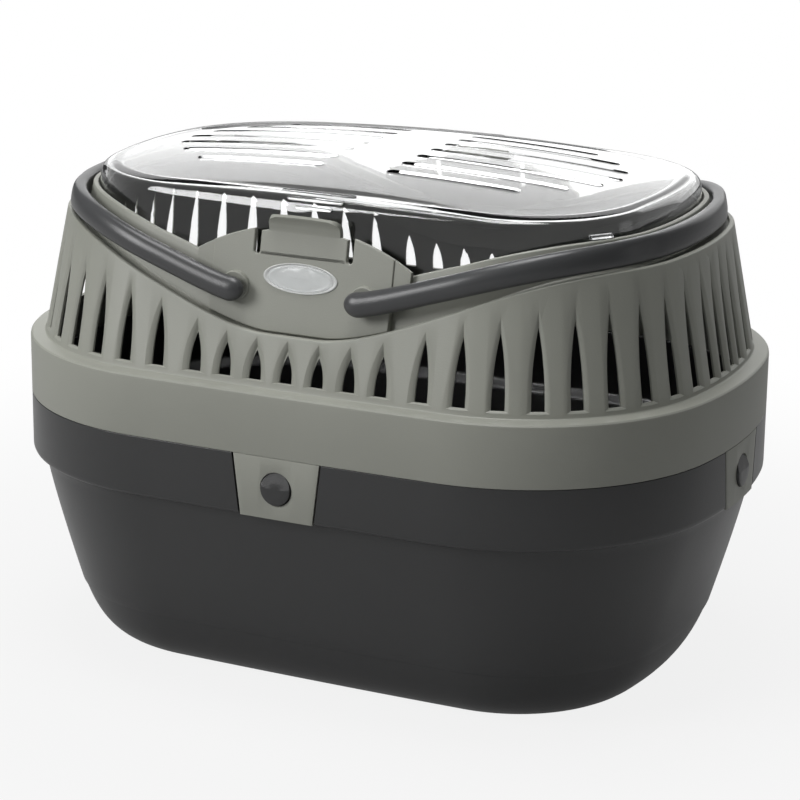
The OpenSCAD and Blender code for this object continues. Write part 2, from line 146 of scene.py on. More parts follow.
def circle(count):
    return np.radians(np.linspace(0, 360, count, endpoint=False))


def solid(name, verts, faces, sharp=32.0):
    """A smooth-shaded mesh object from millimetre points, with edges over the sharp angle kept crisp."""
    mesh = bpy.data.meshes.new(name)
    mesh.from_pydata((np.asarray(verts, float) * MM).tolist(), [], faces)
    mesh.validate()
    inner = bmesh.new()
    inner.from_mesh(mesh)
    if inner.calc_volume(signed=True) < 0:
        bmesh.ops.reverse_faces(inner, faces=inner.faces)
        inner.to_mesh(mesh)
    inner.free()
    piece = bpy.data.objects.new(name.replace(" ", "_"), mesh)
    bpy.context.collection.objects.link(piece)
    mesh.shade_smooth()
    mesh.set_sharp_from_angle(angle=radians(sharp))
    return piece


def skin(name, rings, loop=False, sharp=32.0):
    """A skin over a stack of rings, closed on itself or capped flat at both ends."""
    count = len(rings[0])
    depth = len(rings)
    verts = np.concatenate([np.asarray(ring, float) for ring in rings])
    j, i = np.meshgrid(np.arange(depth if loop else depth - 1), np.arange(count), indexing="ij")
    up = (j + 1) % depth
    on = (i + 1) % count
    corners = [j * count + i, j * count + on, up * count + on, up * count + i]
    faces = np.stack(corners, -1).reshape(-1, 4).tolist()
    if not loop:
        faces += [list(range(count))[::-1], [(depth - 1) * count + k for k in range(count)]]
    return solid(name, verts, faces, sharp)


def level(turns, inset, height):
    return np.column_stack([plan(turns, inset), np.full(len(turns), float(height))])


def plain(piece):
    """The finished mesh of a piece, with its modifiers applied and removed."""
    bpy.context.view_layer.update()
    finished = piece.evaluated_get(bpy.context.evaluated_depsgraph_get())
    mesh = bpy.data.meshes.new_from_object(finished)
    piece.modifiers.clear()
    piece.data = mesh
    return piece


def carve(piece, cutters, sharp=32.0):
    """Cuts each cutter out of the piece and throws the cutters away."""
    for cutter in cutters:
        cut = piece.modifiers.new("cut", "BOOLEAN")
        cut.operation = "DIFFERENCE"
        cut.object = cutter
        cut.solver = "EXACT"
    plain(piece)
    for cutter in cutters:
        bpy.data.objects.remove(cutter)
    piece.data.shade_smooth()
    piece.data.set_sharp_from_angle(angle=radians(sharp))
    return piece


def lug_patch(name, side, out, back, grow, low, top, steps=14):
    """A tapering tab that follows the plan on one side, from an outward reach to an inner depth."""
    radius = END_RADIUS if side % 180 == 0 else SIDE_RADIUS
    rings = []
    for z in (low, top):
        share = (z - BAND_Z) / (JOINT_Z - BAND_Z)
        half = LUG_LOW + (LUG_TOP - LUG_LOW) * share + grow
        sweep = side + np.degrees(np.linspace(-half, half, steps) / radius)
        rings.append(np.concatenate([level(sweep, -out, z), level(sweep[::-1], back, z)]))
    return skin(name, rings)


def on_side(points, side, out=0.0):
    """Points given outward, sideways and upward from a stud's centre, set on this side of the tub."""
    reach = HALF_LENGTH if side % 180 == 0 else HALF_WIDTH
    turn = np.array(Matrix.Rotation(radians(side), 3, "Z"))
    return (turn @ (points + [reach + out, 0, 0]).T).T + [0, 0, STUD_Z]


class Wire:
    """One socket of a node tree; arithmetic on it adds Math nodes."""

    def __init__(self, paint, socket):
        self.paint = paint
        self.socket = socket

    def math(self, operation, *others):
        values = {k: v for k, v in enumerate((self,) + others)}
        return self.paint.node("ShaderNodeMath", {"operation": operation}, values)

    def __add__(self, other):
        return self.math("ADD", other)

    def __mul__(self, other):
        return self.math("MULTIPLY", other)

    def __sub__(self, other):
        return self.math("SUBTRACT", other)

    def __rsub__(self, other):
        return self.paint.node("ShaderNodeMath", {"operation": "SUBTRACT"}, {0: other, 1: self})

    __radd__, __rmul__ = __add__, __mul__


class Paint:
    """The node tree of a material, or of the world, whose nodes are made by one method."""

    def __init__(self, name, owner=None):
        self.owner = owner or bpy.data.materials.new(name)
        self.owner.use_nodes = True
        self.tree = self.owner.node_tree
        self.tree.nodes.clear()

    def node(self, kind, settings=(), sockets=(), out=0):
        node = self.tree.nodes.new(kind)
        for key, value in dict(settings).items():
            setattr(node, key, value)
        for key, value in dict(sockets).items():
            if isinstance(value, Wire):
                self.tree.links.new(value.socket, node.inputs[key])
            else:
                node.inputs[key].default_value = value
        return Wire(self, node.outputs[out])

    def place(self):
        return self.node("ShaderNodeTexCoord", out="Object")

    def ray(self, kind):
        return self.node("ShaderNodeLightPath", out=kind)

    def surface(self, shader, output="ShaderNodeOutputMaterial"):
        end = self.tree.nodes.new(output)
        self.tree.links.new(shader.socket, end.inputs["Surface"])
        return self.owner


def tone(colour, share=1.0):
    return (*[min(c * share, 1.0) for c in colour], 1.0)


def moulded(name, colour, roughness, wave=0.0):
    """Satin injection-moulded polypropylene: near even colour, a fine grain and slight flow unevenness."""
    paint = Paint(name)
    place = paint.place()
    cloud = paint.node("ShaderNodeTexNoise", {}, {"Vector": place, "Scale": 26.0, "Detail": 3.0})
    fine = paint.node("ShaderNodeTexNoise", {}, {"Vector": place, "Scale": 1700.0, "Detail": 2.0})
    tint = paint.node("ShaderNodeMix", {"data_type": "RGBA"},
                      {0: cloud, 6: tone(colour, 0.94), 7: tone(colour, 1.06)}, out=2)
    normal = paint.node("ShaderNodeBump", {}, {"Strength": 0.35, "Distance": 0.12 * MM, "Height": fine})
    if wave:
        slow = paint.node("ShaderNodeTexNoise", {}, {"Vector": place, "Scale": 14.0, "Detail": 1.0})
        normal = paint.node("ShaderNodeBump", {}, {
            "Strength": 0.5, "Distance": wave * MM, "Height": slow, "Normal": normal})
    return paint.surface(paint.node("ShaderNodeBsdfPrincipled", {}, {
        "Base Color": tint, "Roughness": roughness + 0.08 * (cloud - 0.5), "Normal": normal, "IOR": 1.49}))


def body_inset(z):
    """Inset of the body's outer face: it bellies out from the foot to just under the band."""
    return BAND_OUT + (FOOT_IN - BAND_OUT) * (1 - (z - FOOT_Z) / (BAND_FOOT - FOOT_Z)) ** BELLY


def underside(t, wall):
    """The round from the foot of the body to the flat that the tub stands on."""
    start = np.array([FOOT_IN + 0.6 + wall, FOOT_Z - 0.4])
    return cubic(t, start, start + FOOT_PULL, np.array([FLAT_IN - FLAT_PULL + wall, wall]),
                 np.array([FLAT_IN, wall]))


round_tub = stations(6, 22, 14)
outside = [tuple(underside(t, 0)) for t in np.linspace(1, 0, 16)]
outside += [(FOOT_IN + 0.15, FOOT_Z - 0.25)]
outside += [(body_inset(z), z) for z in np.linspace(FOOT_Z, BAND_FOOT, 14)]
inner_lip = LIP_IN + LIP_THICK
rim = rounded([(BAND_OUT, BAND_FOOT, 0), (BAND_OUT - 0.6, BAND_Z, 0.5), (0, BAND_Z, 2.6), (0, JOINT_Z, 0.35),
               (LIP_IN, JOINT_Z, 0.2), (LIP_IN, JOINT_Z + LIP_TOP, 0.5), (inner_lip, JOINT_Z + LIP_TOP, 0.5),
               (inner_lip, BAND_Z + 4.6, 1.2), (body_inset(BAND_FOOT) + TUB_WALL, BAND_Z + 1, 1.2),
               (body_inset(THICKER_FROM) + TUB_WALL, THICKER_FROM, 0)], 5)[1:-1]
inside = [(body_inset(z) + TUB_WALL, z) for z in np.linspace(THICKER_FROM, FOOT_Z, 10)]
inside += [tuple(underside(t, TUB_WALL)) for t in np.linspace(0.05, 1, 12)]
tub = skin("base tub", [level(round_tub, i, z) for i, z in outside + rim + inside], sharp=30)
tub_plastic = moulded("charcoal polypropylene", TUB_GREY, 0.3, wave=0.1)
tub.data.materials.append(tub_plastic)
recess_deep = LUG_THICK + 0.3
carve(tub, [lug_patch("recess", side, 3, recess_deep, LUG_GAP, BAND_Z - 2, JOINT_Z + 0.05)
            for side in SIDES], 30)


def stud(name, side):
    """A round stud with a ramp on its upper half that the lug rides over."""
    angles = circle(72)
    rings = []
    for depth, share in ((-STUD_ROOT, 1.0), (STUD_OUT - 0.5, 1.0), (STUD_OUT - 0.15, 0.985),
                         (STUD_OUT, 0.93), (STUD_OUT, 0.5), (STUD_OUT, 0.05)):
        y = share * STUD_RADIUS * np.cos(angles)
        z = share * STUD_RADIUS * np.sin(angles)
        ramp = np.where(z > RAMP_FROM, STUD_OUT - RAMP_STEP - (z - RAMP_FROM) * RAMP_SLOPE, STUD_OUT)
        x = np.where(depth < 0, depth, np.minimum(depth, ramp))
        rings.append(on_side(np.column_stack([x, y, z]), side))
    return skin(name, rings, sharp=24)


studs = [stud("stud %d" % side, side) for side in SIDES]
for piece in [tub] + studs:
    if not piece.data.materials:
        piece.data.materials.append(tub_plastic)
    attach(piece, "carrier")
    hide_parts("base_tub")

# Collar
# The collar is one grey-green polypropylene moulding that fits over the tub's lip: a smooth skirt, a ledge,
# a leaning wall pierced by lancet slots, a channel for the handles and an upstand with a seat for the lid.
# The edge of its wall and its upstand climb from the middle to both ends.
LEDGE_Z = 130.1
LEDGE_IN = 6.2
LEDGE_THICK = 1.5
SKIRT_THICK = 1.9
LEAN = radians(11.1)
WALL_THICK = 1.6
RIM_THICK = 2.1
CHANNEL = 8.5
CHANNEL_DROP = 1.5
FLOOR_THICK = 1.6
UPSTAND = 2.0
EDGE_LOW = 150.8
EDGE_RISE = 31.5
UPSTAND_LOW = 165.0
UPSTAND_RISE = 27.0
CLIMB_FROM = 12
CLIMB_LONG = HALF_LENGTH - 32
ARC_TOP = 190.8
ARC_RADIUS = 90.0
WING_X = 45.4
LID_GAP = 0.4
LID_DIP = 3.4
SHELF_GAP = 0.6
SHELF_REACH = 2.2
SHELF_THICK = 1.5
SHELF_FOOT = 3.7
SLOT_Z = 133.3
SLOT_HALF = 2.55
FLUTE_HALF = 4.9
FLUTE_DEEP = 1.25
FLUTE_OVER = 6.5
RIM_KEEP = 1.4
SIDE_PITCH = 13.2
SIDE_TOP = 144
SIDE_CLIMB = 4.4
CORNER_PITCH = 15.15
CORNER_BACK = 8.6
CORNER_TOP = 156.4
CORNER_CLIMB = 0.17
CORNER_FROM = 56
END_PITCH = 10.8
END_TOP = 171.3
COLLAR_GREY = (0.300, 0.305, 0.268)


def climb(x):
    return np.clip((np.abs(x) - CLIMB_FROM) / CLIMB_LONG, 0, 1)


def wall_in(z):
    return LEDGE_IN + tan(LEAN) * (z - LEDGE_Z)


def edge(x):
    return EDGE_LOW + EDGE_RISE * np.sin(pi / 2 * climb(x)) ** 1.6


def upstand(x):
    return UPSTAND_LOW + UPSTAND_RISE * np.sin(pi / 2 * climb(x))


def arc(x):
    """Height of the plates' arched top edge."""
    return ARC_TOP - ARC_RADIUS + np.sqrt(np.maximum(ARC_RADIUS ** 2 - np.square(x), 0))


def lid_out(x):
    """Inset of the lid's skirt: it clears the upstand, and the plates' leaning backs near the middle."""
    behind = np.where(np.abs(x) < WING_X, wall_in(arc(x)) + CHANNEL + LID_GAP, 0)
    return np.maximum(wall_in(upstand(x)) + CHANNEL + UPSTAND + LID_GAP, behind)


def collar_section(e, u, seat):
    """The collar's section where the wall's edge, the upstand and the lid's seat have these values."""
    back = CHANNEL + UPSTAND
    groove = e - CHANNEL_DROP
    under = groove - FLOOR_THICK
    shelf = u - LID_DIP - SHELF_GAP
    low = shelf - SHELF_FOOT
    points = [(SKIRT_THICK, JOINT_Z + 8, 0), (SKIRT_THICK, JOINT_Z, 0.3), (0, JOINT_Z, 0.5),
              (0, LEDGE_Z, 1.5), (LEDGE_IN, LEDGE_Z + 0.3, 0.9),
              (wall_in(e), e, 0.9), (wall_in(e) + RIM_THICK, e, 0.6),
              (wall_in(groove) + RIM_THICK + 0.1, groove, 0.6), (wall_in(groove) + CHANNEL, groove, 1.0),
              (wall_in(u) + CHANNEL, u, 0.7), (wall_in(u) + back, u, 0.6),
              (wall_in(u) + back, shelf, 0.4), (seat + SHELF_REACH, shelf, 0.3),
              (seat + SHELF_REACH, shelf - SHELF_THICK, 0.3), (wall_in(low) + back, low, 0.5),
              (wall_in(under) + back, under, 0.8), (wall_in(under) + WALL_THICK, under, 0.8),
              (LEDGE_IN + WALL_THICK, LEDGE_Z - LEDGE_THICK, 0.8),
              (SKIRT_THICK + 0.2, LEDGE_Z - LEDGE_THICK - 0.3, 0.8), (SKIRT_THICK, JOINT_Z + 9, 0)]
    return rounded(points, 4)


round_collar = stations(7, 26, 18)
across = np.abs(plan(round_collar, 12)[:, 0])
sections = np.array([collar_section(e, u, seat) for e, u, seat in
                     zip(edge(across), upstand(across), lid_out(across) - LID_GAP)])
collar = skin("collar", [np.column_stack([plan(round_collar, sections[:, j, 0]), sections[:, j, 1]])
                         for j in range(sections.shape[1])], loop=True, sharp=30)
collar_plastic = moulded("grey-green polypropylene", COLLAR_GREY, 0.44)
collar.data.materials.append(collar_plastic)

FOOT_SIDE = (SIDE_RADIUS - LEDGE_IN) * radians(90 - SIDE_TURN)
FOOT_CORNER = (CORNER_RADIUS - LEDGE_IN) * radians(SIDE_TURN - END_TURN)
FOOT_END = (END_RADIUS - LEDGE_IN) * radians(END_TURN)


def turn_along(s):
    """Normal angle at this distance along the foot of the wall, from the middle of the long side."""
    if s < FOOT_SIDE:
        return 90 - degrees(s / (SIDE_RADIUS - LEDGE_IN))
    if s < FOOT_SIDE + FOOT_CORNER:
        return SIDE_TURN - degrees((s - FOOT_SIDE) / (CORNER_RADIUS - LEDGE_IN))
    return END_TURN - degrees((s - FOOT_SIDE - FOOT_CORNER) / (END_RADIUS - LEDGE_IN))


def slot_places():
    """(normal angle, opening height, flute height) of each slot; heights run up the wall from its foot."""
    total = FOOT_SIDE + FOOT_CORNER + FOOT_END
    quarter = [(SIDE_PITCH * k, SIDE_TOP + SIDE_CLIMB * (k / 3) ** 2) for k in range(4)]
    for k in range(9):
        s = FOOT_SIDE - CORNER_BACK + CORNER_PITCH * k
        quarter.append((s, CORNER_TOP + CORNER_CLIMB * (plan(turn_along(s), LEDGE_IN)[0] - CORNER_FROM)))
    quarter += [(total - END_PITCH * (k + 0.5), END_TOP) for k in range(2)]
    places = []
    for s, top in quarter:
        q = turn_along(s)
        tip = min(top + FLUTE_OVER, float(edge(plan(q, LEDGE_IN)[0] - 6)) - RIM_KEEP)
        for turn in {round(q, 6), round(180 - q, 6), round(180 + q, 6), round(360 - q, 6)}:
            places.append((turn, (top - SLOT_Z) / cos(LEAN), (tip - SLOT_Z) / cos(LEAN)))
    return places


def lancet(name, levels, steps=11):
    """A unit-high lancet cutter: (depth, half-width, foot, tip) at each level, pointed at the top."""
    t = np.linspace(0, 1, steps)
    rings = []
    for depth, half, foot, tip in levels:
        side = half * (1 - t ** 2.3)
        y = np.concatenate([side, -side[-2::-1]])
        z = foot + (tip - foot) * np.concatenate([t, t[-2::-1]])
        rings.append(np.column_stack([np.full(len(y), depth), y, z / MM]))
    return skin(name, rings)


def scatter(name, places, cutter):
    """Copies of a cutter set round the wall by Geometry Nodes; each place gives an angle and a height."""
    marks = bpy.data.meshes.new(name + " places")
    marks.from_pydata([(*(plan(q, wall_in(SLOT_Z)) * MM), SLOT_Z * MM) for q, _ in places], [], [])
    tilts = [(0.0, -LEAN, radians(q)) for q, _ in places]
    sizes = [(1.0, 1.0, height * MM) for _, height in places]
    for key, values in (("tilt", tilts), ("size", sizes)):
        column = marks.attributes.new(key, "FLOAT_VECTOR", "POINT")
        column.data.foreach_set("vector", np.array(values, "f").ravel())
    tree = bpy.data.node_groups.new(name, "GeometryNodeTree")
    tree.interface.new_socket("Geometry", in_out="INPUT", socket_type="NodeSocketGeometry")
    source = tree.interface.new_socket("Cutter", in_out="INPUT", socket_type="NodeSocketObject")
    finish = tree.interface.new_socket("Material", in_out="INPUT", socket_type="NodeSocketMaterial")
    tree.interface.new_socket("Geometry", in_out="OUTPUT", socket_type="NodeSocketGeometry")
    made = {}
    for key, kind in (("in", "NodeGroupInput"), ("info", "GeometryNodeObjectInfo"),
                      ("tilt", "GeometryNodeInputNamedAttribute"),
                      ("size", "GeometryNodeInputNamedAttribute"),
                      ("to", "FunctionNodeEulerToRotation"), ("set", "GeometryNodeInstanceOnPoints"),
                      ("real", "GeometryNodeRealizeInstances"), ("paint", "GeometryNodeSetMaterial"),
                      ("out", "NodeGroupOutput")):
        made[key] = tree.nodes.new(kind)
    for key in ("tilt", "size"):
        made[key].data_type = "FLOAT_VECTOR"
        made[key].inputs["Name"].default_value = key
    made["info"].inputs["As Instance"].default_value = True
    for a, out, b, into in (("in", "Geometry", "set", "Points"),
                            ("in", "Cutter", "info", "Object"),
                            ("info", "Geometry", "set", "Instance"),
                            ("tilt", "Attribute", "to", "Euler"),
                            ("to", "Rotation", "set", "Rotation"),
                            ("size", "Attribute", "set", "Scale"),
                            ("set", "Instances", "real", "Geometry"),
                            ("real", "Geometry", "paint", "Geometry"),
                            ("in", "Material", "paint", "Material"),
                            ("paint", "Geometry", "out", "Geometry")):
        tree.links.new(made[a].outputs[out], made[b].inputs[into])
    piece = bpy.data.objects.new(name, marks)
    bpy.context.collection.objects.link(piece)
    step = piece.modifiers.new(name, "NODES")
    step.node_group = tree
    step[source.identifier] = cutter
    step[finish.identifier] = collar_plastic
    plain(piece)
    bpy.data.objects.remove(cutter)
    return piece


places = slot_places()
flute = lancet("flute", [(0.3, FLUTE_HALF + 0.25, -0.03, 1.015),
                         (0, FLUTE_HALF, -0.024, 1.0),
                         (-0.18, FLUTE_HALF * 0.82, -0.016, 0.95),
                         (-0.55, FLUTE_HALF * 0.65, -0.004, 0.88),
                         (-0.95, FLUTE_HALF * 0.53, 0.006, 0.82),
                         (-FLUTE_DEEP, SLOT_HALF * 0.9, 0.012, 0.78)])
opening = lancet("opening", [(1.5, SLOT_HALF, 0, 1), (-4.5, SLOT_HALF, 0, 1)])
carve(collar, [scatter("flutes", [(q, h) for q, _, h in places], flute)], 20)
carve(collar, [scatter("openings", [(q, h) for q, h, _ in places], opening)], 20)
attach(collar, "carrier")
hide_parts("collar")

# Lugs
# Four thin tabs hang from the skirt, flush with it, and each snaps over a stud of the tub. They are of the
# collar's plastic and bend outward at their top edge to let go.
HOLE_RADIUS = STUD_RADIUS + 0.4


def soften(piece, width, segments, angle):
    """Rounds every edge of a piece that turns by more than this angle."""
    soft = piece.modifiers.new("edge", "BEVEL")
    soft.width = width * MM
    soft.segments = segments
    soft.limit_method = "ANGLE"
    soft.angle_limit = radians(angle)
    return plain(piece)


for side, node in ((270, "front_lug"), (90, "rear_lug"), (180, "left_lug"), (0, "right_lug")):
    lug = lug_patch(node, side, 0, LUG_THICK, 0, BAND_Z + 0.1, JOINT_Z)
    angles = circle(72)
    ring = np.column_stack([np.zeros(72), HOLE_RADIUS * np.cos(angles), HOLE_RADIUS * np.sin(angles)])
    carve(lug, [skin("hole", [on_side(ring, side, out) for out in (-5, 3)])])
    soften(lug, 0.35, 2, 50)
    lug.data.shade_smooth()
    lug.data.set_sharp_from_angle(angle=radians(40))
    lug.data.materials.append(collar_plastic)
    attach(lug, node)
    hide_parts(node)

# Plates and tongues
# A flat plate of the collar's plastic snaps against the upstand at front and rear and carries two bosses for
# the handles. Between two relief slots it is a springy tongue, whose top edge curls outward for the thumb.
PIVOT_X = 27.5
PIVOT_Z = 165.7
PEG_RADIUS = 2.4
BORE_RADIUS = PEG_RADIUS + 0.05
BOSS_RADIUS = 5.9
PLATE_HALF = 38.3
PLATE_THICK = 2.6
PLATE_Y = -(HALF_WIDTH - wall_in(PIVOT_Z) - CHANNEL + PLATE_THICK)
PLATE_DEEP = PLATE_THICK * cos(LEAN) - 0.05
TONGUE_HALF = 18.4
RELIEF = 2.6
ROOT_Z = 178.8
CURL_HALF = 15.1
CURL_NARROW = 5.5
TILT = np.array(Matrix.Rotation(-LEAN, 3, "X"))


def up(z):
    """Distance up the leaning plate, from the handles' axis, of a point at this height."""
    return (z - PIVOT_Z) / cos(LEAN)


def slab(name, outline, front, back, edge_round=0.5, seam=None):
    """A flat outline in the plate's own plane, given thickness and soft edges, but none along a seam."""
    count = len(outline)
    verts = [(x, y, z) for y in (front, back) for x, z in outline]
    faces = [list(range(count)), list(range(count, 2 * count))[::-1]]
    faces += [[k, k + count, (k + 1) % count + count, (k + 1) % count] for k in range(count)]
    piece = solid(name, verts, faces)
    at = [v.co / MM for v in piece.data.vertices]
    weights = []
    for a, b in ((at[e.vertices[0]], at[e.vertices[1]]) for e in piece.data.edges):
        along = abs(a.y - b.y) < 1e-4
        on_seam = seam is not None and abs(a.z - seam) + abs(b.z - seam) <= 1e-3
        weights.append(float(along and not on_seam))
    piece.data.attributes.new("bevel_weight_edge", "FLOAT", "EDGE").data.foreach_set("value", weights)
    soft = piece.modifiers.new("edge", "BEVEL")
    soft.width = edge_round * MM
    soft.segments = 3
    soft.limit_method = "WEIGHT"
    return plain(piece)


def lay(piece, rear):
    """Sets a piece from the plate's plane onto the front or rear of the collar, as part of its mesh."""
    points = np.empty(len(piece.data.vertices) * 3, "f")
    piece.data.vertices.foreach_get("co", points)
    points = (TILT @ points.reshape(-1, 3).T).T + np.array([0, PLATE_Y, PIVOT_Z]) * MM
    if rear:
        points = points * [-1, -1, 1]
    piece.data.vertices.foreach_set("co", points.astype("f").ravel())
    piece.data.update()
    piece.data.shade_smooth()
    piece.data.set_sharp_from_angle(angle=radians(32))


def barrel(name, x, radius, y_out, y_in, segments=64, rounding=0.0):
    """A straight cylinder along Y at the handles' axis, with a rounded outer rim."""
    angles = circle(segments)
    rings = []
    for y, r in ((y_out, radius - rounding), (y_out + rounding, radius), (y_in, radius)):
        rings.append(np.column_stack([x + r * np.cos(angles), np.full(segments, y),
                                      PIVOT_Z + r * np.sin(angles)]))
    return skin(name, rings)


slot_edge = TONGUE_HALF + RELIEF
slot_half = RELIEF / 2
floor_line = [(x, up(float(edge(x)) - 0.5)) for x in np.linspace(-PLATE_HALF, PLATE_HALF, 33)]
right_arc = [(x, up(arc(x))) for x in np.linspace(PLATE_HALF, slot_edge, 14)]
slot_bottom = [(slot_edge - slot_half + slot_half * cos(a), up(ROOT_Z) + slot_half * (1 - sin(a)) * 0.9)
               for a in np.linspace(0, pi, 9)]
right_line = right_arc + slot_bottom
plate_line = floor_line + right_line + [(-x, z) for x, z in right_line[::-1]]
wing_line = [(PLATE_HALF - 1, up(166)), (PLATE_HALF + 2, up(166)), (WING_X - 0.2, up(171)),
             (WING_X, up(arc(WING_X) - 1))]
wing_line += [(x, up(arc(x) - 0.05)) for x in np.linspace(WING_X, PLATE_HALF - 1, 8)]
tongue_line = [(-TONGUE_HALF, up(ROOT_Z)), (TONGUE_HALF, up(ROOT_Z))]
tongue_line += [(x, up(arc(x) - 1.3)) for x in np.linspace(TONGUE_HALF, -TONGUE_HALF, 17)]


def curl(name):
    """The curled lip: a thin section rolled outward, narrowing a little towards its edge."""
    middle = [(0.06, ROOT_Z + 5), (0.06, ARC_TOP - 5), (0.0, ARC_TOP - 2.2),
              (-0.9, ARC_TOP + 0.3), (-2.6, ARC_TOP + 2.0), (-4.2, ARC_TOP + 2.9)]
    path = np.array([(y + PLATE_DEEP * 0.5, up(z)) for y, z in middle])
    t = np.linspace(0, 1, 22)
    fine = np.column_stack([np.interp(t, np.linspace(0, 1, len(path)), path[:, k]) for k in (0, 1)])
    for _ in range(2):
        fine[1:-1] = (fine[:-2] + 2 * fine[1:-1] + fine[2:]) / 4
    way = np.gradient(fine, axis=0)
    way /= np.hypot(way[:, 0], way[:, 1])[:, None]
    across_way = np.column_stack([-way[:, 1], way[:, 0]])
    thick = np.interp(t, [0, 0.55, 0.95, 1], [PLATE_DEEP / 2, PLATE_DEEP / 2, 0.8, 0.55])
    rings = []
    for k in range(len(t)):
        narrow = min(1, max(0, t[k] - 0.62) / 0.4)
        half = CURL_HALF - CURL_NARROW * (1 - sqrt(1 - narrow ** 2))
        a = fine[k] + across_way[k] * thick[k]
        b = fine[k] - across_way[k] * thick[k]
        xs = half * np.sin(np.linspace(-pi / 2, pi / 2, 15))
        bow = 1.2 * (0.6 - (xs / CURL_HALF) ** 2) * max(0, t[k] - 0.5)
        rings.append(np.concatenate([np.column_stack([xs, np.full(15, a[0]), a[1] + bow]),
                                     np.column_stack([xs[::-1], np.full(15, b[0]), b[1] + bow])]))
    return skin(name, rings)


# Badges
# A blank clear oval is fixed to the face of each plate between the bosses. It is a low polished lens on a
# pale plastic backing with a raised rim; the backing's pale colour is partly its own and partly painted
# highlight that stands in for the lens's reflections.
BADGE_HALF = 15.7
BADGE_RISE = 5.8
BADGE_UP = 5.5
BADGE_THICK = 0.9

lens_paint = Paint("clear badge")
ripple = lens_paint.node("ShaderNodeTexNoise", {},
                         {"Vector": lens_paint.place(), "Scale": 210.0, "Detail": 1.0})
uneven = lens_paint.node("ShaderNodeBump", {}, {"Strength": 0.5, "Distance": 0.5 * MM, "Height": ripple})
lens_clear = lens_paint.surface(lens_paint.node("ShaderNodeBsdfPrincipled", {}, {
    "Base Color": (0.9, 0.92, 0.92, 1.0), "Roughness": 0.08, "Alpha": 0.35, "IOR": 1.6, "Normal": uneven}))
# The backing's pale colour is partly its own and partly painted highlight, standing in for the lens's
# reflections.
badge_back_and_highlight = moulded("pale badge backing", (0.62, 0.63, 0.62), 0.25, wave=0.8)


def oval(name, levels):
    """An oval lens shape in the plate's plane: (depth, share of its half-length) at each level."""
    angles = circle(96)
    rings = []
    for y, share in levels:
        rise = BADGE_RISE - BADGE_HALF * (1 - share) * 0.4
        rings.append(np.column_stack([BADGE_HALF * share * np.cos(angles), np.full(96, y),
                                      up(PIVOT_Z + BADGE_UP) + rise * np.sin(angles)]))
    return skin(name, rings, sharp=40)


for rear, side in ((False, "front"), (True, "rear")):
    plate = slab(side + " plate", plate_line, 0, PLATE_DEEP, seam=slot_bottom[-1][1])
    wings = [slab(side + " wing", [(s * x, z) for x, z in wing_line[::s]], 0.6, PLATE_DEEP, 0.3)
             for s in (1, -1)]
    tongue = slab(side + " tongue", tongue_line, 0, PLATE_DEEP, seam=up(ROOT_Z))
    lip = curl(side + " lip")
    ring = oval(side + " badge back", [(-0.02, 1.0), (-0.3, 1.0), (-0.5, 0.975), (-0.5, 0.955), (-0.3, 0.93),
                                       (-0.1, 0.9), (-0.1, 0.3), (-0.1, 0.02)])
    glass = oval(side + " badge", [(-0.14, 0.89), (-0.35, 0.885), (-0.68, 0.84), (-0.74, 0.8), (-0.62, 0.76),
                                   (-0.72, 0.66), (-0.84, 0.4), (-BADGE_THICK, 0.05)])
    for piece in [plate, tongue, lip, ring, glass] + wings:
        lay(piece, rear)
    bosses = [barrel("boss", s * PIVOT_X, BOSS_RADIUS, PLATE_Y - 1.0, PLATE_Y + 1.4, rounding=0.35)
              for s in (1, -1)]
    bores = [barrel("bore", s * PIVOT_X, BORE_RADIUS, PLATE_Y - 8, PLATE_Y + 8, 48) for s in (1, -1)]
    if rear:
        for piece in bosses + bores:
            piece.data.transform(Matrix.Rotation(pi, 4, "Z"))
    for bore in bores:
        carve(plate, [bore])
    springy = (tongue, lip)
    for piece in [plate, tongue, lip] + wings + bosses:
        flat = piece.modifiers.new("flat", "WEIGHTED_NORMAL")
        flat.keep_sharp = True
        plain(piece)
        piece.data.materials.clear()
        piece.data.materials.append(collar_plastic)
        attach(piece, side + "_tongue" if piece in springy else "carrier")
        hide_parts(side + ("_tongue" if piece in springy else "_plate"))
    for piece, finish in ((ring, badge_back_and_highlight), (glass, lens_clear)):
        piece.data.materials.append(finish)
        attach(piece, "carrier")
        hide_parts(side + "_badge")

# Handles
# Each handle is a stiff bar in dark grey polypropylene that lies in the channel round one end. It is oval on
# its arms and squarer at its bow, and its rounded heads have pegs that turn in the bosses of the plates.
BAR_WIDE = 7.0
BAR_HIGH = 9.8
BAR_RISE = 22.0
BAR_IN = 0.9
BAR_DRIFT = 1.2
BOW_WIDE = 5.4
BOW_IN = 2.7
HEAD_LONG = 6
ARM_LONG = 34
HANDLE_GREY = (0.062, 0.063, 0.065)
handle_plastic = moulded("dark grey polypropylene", HANDLE_GREY, 0.3)


def bar_share(x):
    return np.clip((x - PIVOT_X) / (HALF_LENGTH - 20 - PIVOT_X), 0, 1)


def bar_z(x):
    return PIVOT_Z + BAR_RISE * np.sin(pi / 2 * bar_share(x)) ** 1.2


def bent(values, power):
    """Sines or cosines raised to a power with their sign kept, which squares a round section."""
    return np.sign(values) * np.abs(values) ** power


